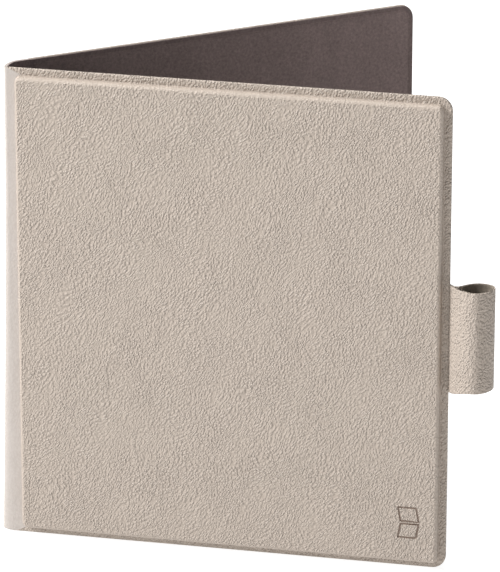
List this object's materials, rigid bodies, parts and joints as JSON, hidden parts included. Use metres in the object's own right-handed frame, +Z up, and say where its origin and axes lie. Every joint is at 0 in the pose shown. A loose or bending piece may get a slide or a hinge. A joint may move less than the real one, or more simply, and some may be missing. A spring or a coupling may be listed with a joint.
{
  "type": "e-reader in a standing magnetic folio",
  "caption": "Slim e-reader docked in a book-style leather folio that stands part open, with folding spine, padded holder cover, lined flap, pen loop and page buttons.",
  "frame": {"origin": "middle of the holder cover's bottom edge, on its outer rim face", "axes": "+X from the spine to the free edge along the holder cover, +Y from its outer face into the fold, +Z up along the spine"},
  "size_m": [0.1616, 0.1016, 0.162],
  "materials": {
    "leather": "warm beige, fine irregular grain, matt",
    "suede_lining": "dark brown microfibre, short nap",
    "grey_board": "plain pressed board",
    "foam": "soft closed-cell foam",
    "magnet": "nickel-plated",
    "dark_shell": "fine soft-touch texture",
    "alloy_tray": "cast magnesium alloy, matt",
    "lens": "etched anti-glare cover lens",
    "epaper": "matt paper-like display",
    "light_guide": "clear light guide",
    "touch_film": "clear film",
    "led_strip": "white strip with small lamps",
    "flex": "amber polyimide",
    "battery": "black foil pouch",
    "circuit_board": "green solder mask",
    "chip": "moulded epoxy",
    "connector": "ivory nylon",
    "steel": "plain steel",
    "button": "smooth satin"
  },
  "bodies": {
    "holder_cover": {"holder_skin": "leather", "holder_foam": "foam", "holder_board": "grey_board", "holder_magnets": "magnet", "holder_lining": "suede_lining", "pen_loop_strap": "leather", "pen_loop_lining": "suede_lining"},
    "spine": {"spine_skin": "leather", "spine_lining": "suede_lining"},
    "flap": {"flap_skin": "leather", "flap_board": "grey_board", "flap_magnets": "magnet", "flap_lining": "suede_lining"},
    "reader": {"reader_rear_shell": "dark_shell", "reader_mid_frame": "alloy_tray", "reader_front_frame": "dark_shell", "reader_cover_lens": "lens", "reader_touch_film": "touch_film", "reader_light_guide": "light_guide", "reader_light_strip": "led_strip", "reader_epaper_panel": "epaper", "reader_display_flex": "flex", "reader_battery": "battery", "reader_battery_lead": "flex", "reader_main_board": "circuit_board", "reader_board_chips": "chip", "reader_flex_connector": "connector", "reader_shield_can": "steel", "reader_hall_sensor": "chip", "reader_usb_socket": "steel", "reader_microphone": "steel", "reader_speakers": "chip", "reader_antenna": "flex", "reader_dock_magnets": "magnet", "reader_screws": "steel", "reader_button_flex": "flex", "reader_power_switch": "chip"},
    "power_button": {"power_button": "button"},
    "page_button_upper": {"page_button_upper": "button"},
    "page_button_lower": {"page_button_lower": "button"}
  },
  "joints": [
    {"name": "spine_fold", "type": "hinge", "parent": "holder_cover", "child": "spine", "pos_m": [-0.0738, 0.0007, 0], "axis": [0, 0, 1], "range_deg": [0, 178]},
    {"name": "flap_fold", "type": "hinge", "parent": "spine", "child": "flap", "pos_m": [-0.06898, 0.00889, 0], "axis": [0, 0, 1], "range_deg": [-37.2, 145.5]},
    {"name": "reader_lift", "type": "slide", "parent": "holder_cover", "child": "reader", "axis": [0, 0, 1], "range_m": [0, 0.165]},
    {"name": "power_button_press", "type": "slide", "parent": "reader", "child": "power_button", "axis": [0, 0, -1], "range_m": [0, 0.00025], "stiffness_N_per_m": 3000},
    {"name": "page_button_upper_press", "type": "slide", "parent": "reader", "child": "page_button_upper", "axis": [0, -1, 0], "range_m": [0, 0.00025], "stiffness_N_per_m": 3000},
    {"name": "page_button_lower_press", "type": "slide", "parent": "reader", "child": "page_button_lower", "axis": [0, -1, 0], "range_m": [0, 0.00025], "stiffness_N_per_m": 3000}
  ]
}
